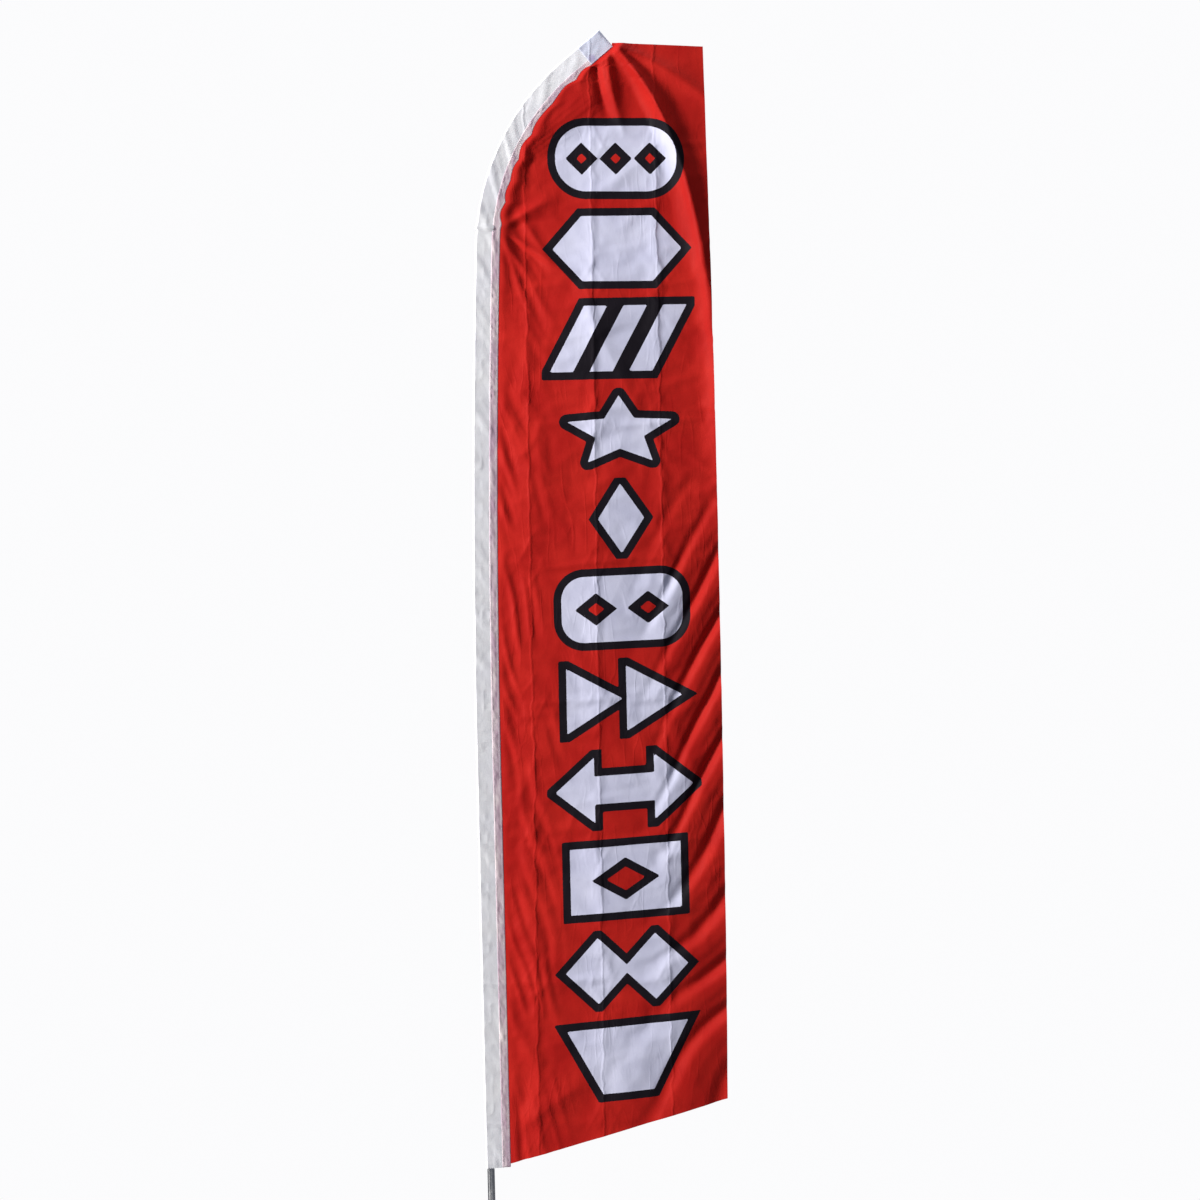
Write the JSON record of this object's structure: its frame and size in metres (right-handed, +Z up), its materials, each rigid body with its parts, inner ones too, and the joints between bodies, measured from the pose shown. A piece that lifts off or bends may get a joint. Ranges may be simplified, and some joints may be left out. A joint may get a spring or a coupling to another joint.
{
  "type": "feather flag with pole",
  "caption": "Tall red feather flag with outlined shapes, sleeved on a sectional pole that bends over at the top and swivels on a ground spike.",
  "frame": {"origin": "on the pole's axis at ground level, in the plane of the foot plate's underside", "axes": "+Z up along the upright part of the pole, +X from the pole towards the fly edge, -Y out of the front of the flag"},
  "size_m": [0.784, 0.076, 4.8571],
  "materials": {
    "zinc_steel": "bright zinc plate, slightly dulled",
    "pole_aluminium": "mill-finish tube, fine lengthwise drawing lines",
    "rivet_aluminium": "domed rivet head, semi-bright",
    "nylon": "moulded black nylon",
    "fibreglass": "pultruded off-white rod, faint lengthwise fibre",
    "vinyl": "dipped black vinyl cap",
    "white_polyester": "white knitted polyester, two layers, lockstitched",
    "pink_polyester": "white cloth over red cloth, so it shows faintly pink",
    "red_polyester": "red dye-printed knitted polyester, soft satin sheen",
    "print_black": "black dye print in the same cloth",
    "print_white": "unprinted white cloth, cool tint"
  },
  "bodies": {
    "ground_spike": {"spike_stake": "zinc_steel", "spike_foot_plate": "zinc_steel", "thrust_washer": "nylon"},
    "pole_base": {"pole_tube_lower": "pole_aluminium", "lower_bush": "nylon", "upper_bush": "nylon", "ferrule_lower": "pole_aluminium", "ferrule_lower_rivet_front": "rivet_aluminium", "ferrule_lower_rivet_back": "rivet_aluminium"},
    "pole_middle": {"pole_tube_middle": "pole_aluminium", "ferrule_middle": "pole_aluminium", "ferrule_middle_rivet_front": "rivet_aluminium", "ferrule_middle_rivet_back": "rivet_aluminium"},
    "pole_upper": {"pole_tube_upper": "pole_aluminium", "whip_socket": "pole_aluminium", "whip_socket_rivet_front": "rivet_aluminium", "whip_socket_rivet_back": "rivet_aluminium"},
    "whip_and_flag": {"whip": "fibreglass", "whip_butt_sleeve": "pole_aluminium", "whip_tip_cap": "vinyl", "pole_sleeve": "white_polyester", "sleeve_pocket": "white_polyester", "sleeve_seam_band": "pink_polyester", "flag_panel_hoist": "red_polyester"},
    "flag_fly": {"flag_panel_fly": "red_polyester"}
  },
  "joints": [
    {"name": "pole_swivel", "type": "hinge", "parent": "ground_spike", "child": "pole_base", "pos_m": [0, 0, 0], "axis": [0, 0, 1], "continuous": true},
    {"name": "middle_section_pull", "type": "slide", "parent": "pole_base", "child": "pole_middle", "axis": [0, 0, 1], "range_m": [0, 0.06]},
    {"name": "upper_section_pull", "type": "slide", "parent": "pole_middle", "child": "pole_upper", "axis": [0.0026, 0, 1], "range_m": [0, 0.06]},
    {"name": "whip_pull", "type": "slide", "parent": "pole_upper", "child": "whip_and_flag", "axis": [0.0343, 0, 0.9994], "range_m": [0, 0.06]},
    {"name": "fly_swing", "type": "hinge", "parent": "whip_and_flag", "child": "flag_fly", "pos_m": [0.06, 0, 0.9738], "axis": [0.1155, 0, 0.9933], "range_deg": [-45, 45]}
  ]
}
